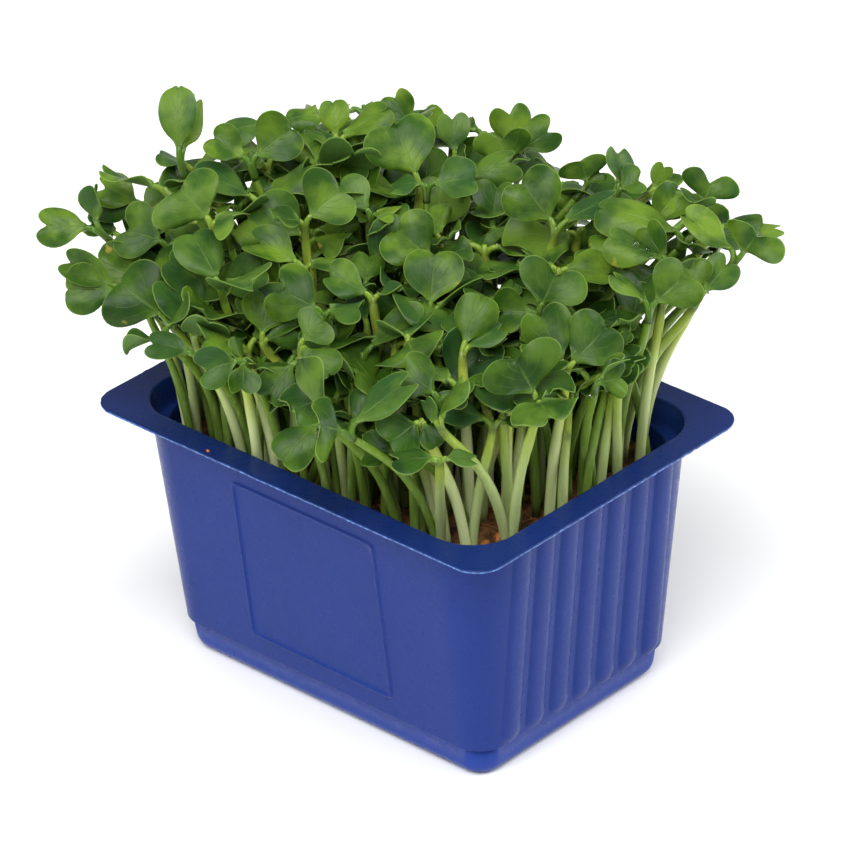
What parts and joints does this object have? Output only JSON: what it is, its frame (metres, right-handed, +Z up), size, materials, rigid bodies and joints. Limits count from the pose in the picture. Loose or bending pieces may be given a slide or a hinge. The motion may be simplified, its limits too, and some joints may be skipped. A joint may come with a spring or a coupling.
{
  "type": "punnet of living green cress",
  "caption": "Rectangular blue plastic punnet with a turned-out rim, ribbed ends and a framed panel, densely sown with green cress.",
  "frame": {"origin": "centre of the punnet's underside", "axes": "+Z up, +X along the punnet's long side, so that the framed panels face -Y and +Y"},
  "size_m": [0.1183, 0.1012, 0.105],
  "materials": {
    "blue_plastic": "satin",
    "growing_medium": "matt, fibrous",
    "cress_green": "satin"
  },
  "bodies": {
    "root": {"punnet": "blue_plastic", "growing_block": "growing_medium", "seedlings_01": "cress_green", "seedlings_02": "cress_green", "seedlings_03": "cress_green", "seedlings_04": "cress_green", "seedlings_05": "cress_green", "seedlings_06": "cress_green", "seedlings_07": "cress_green", "seedlings_08": "cress_green", "seedlings_09": "cress_green", "seedlings_10": "cress_green", "seedlings_11": "cress_green", "seedlings_12": "cress_green", "seedlings_13": "cress_green", "seedlings_14": "cress_green", "seedlings_15": "cress_green", "seedlings_16": "cress_green", "seedlings_17": "cress_green", "seedlings_18": "cress_green", "seedlings_19": "cress_green", "seedlings_20": "cress_green", "seedlings_21": "cress_green", "seedlings_22": "cress_green", "seedlings_23": "cress_green", "seedlings_24": "cress_green", "seedlings_25": "cress_green", "seedlings_26": "cress_green", "seedlings_27": "cress_green", "seedlings_28": "cress_green", "seedlings_29": "cress_green", "seedlings_30": "cress_green", "seedlings_31": "cress_green", "seedlings_32": "cress_green", "seedlings_33": "cress_green", "seedlings_34": "cress_green", "seedlings_35": "cress_green", "seedlings_36": "cress_green", "seedlings_37": "cress_green", "seedlings_38": "cress_green", "seedlings_39": "cress_green", "seedlings_40": "cress_green", "seedlings_41": "cress_green", "seedlings_42": "cress_green", "seedlings_43": "cress_green", "seedlings_44": "cress_green", "seedlings_45": "cress_green", "seedlings_46": "cress_green", "seedlings_47": "cress_green"}
  },
  "joints": []
}
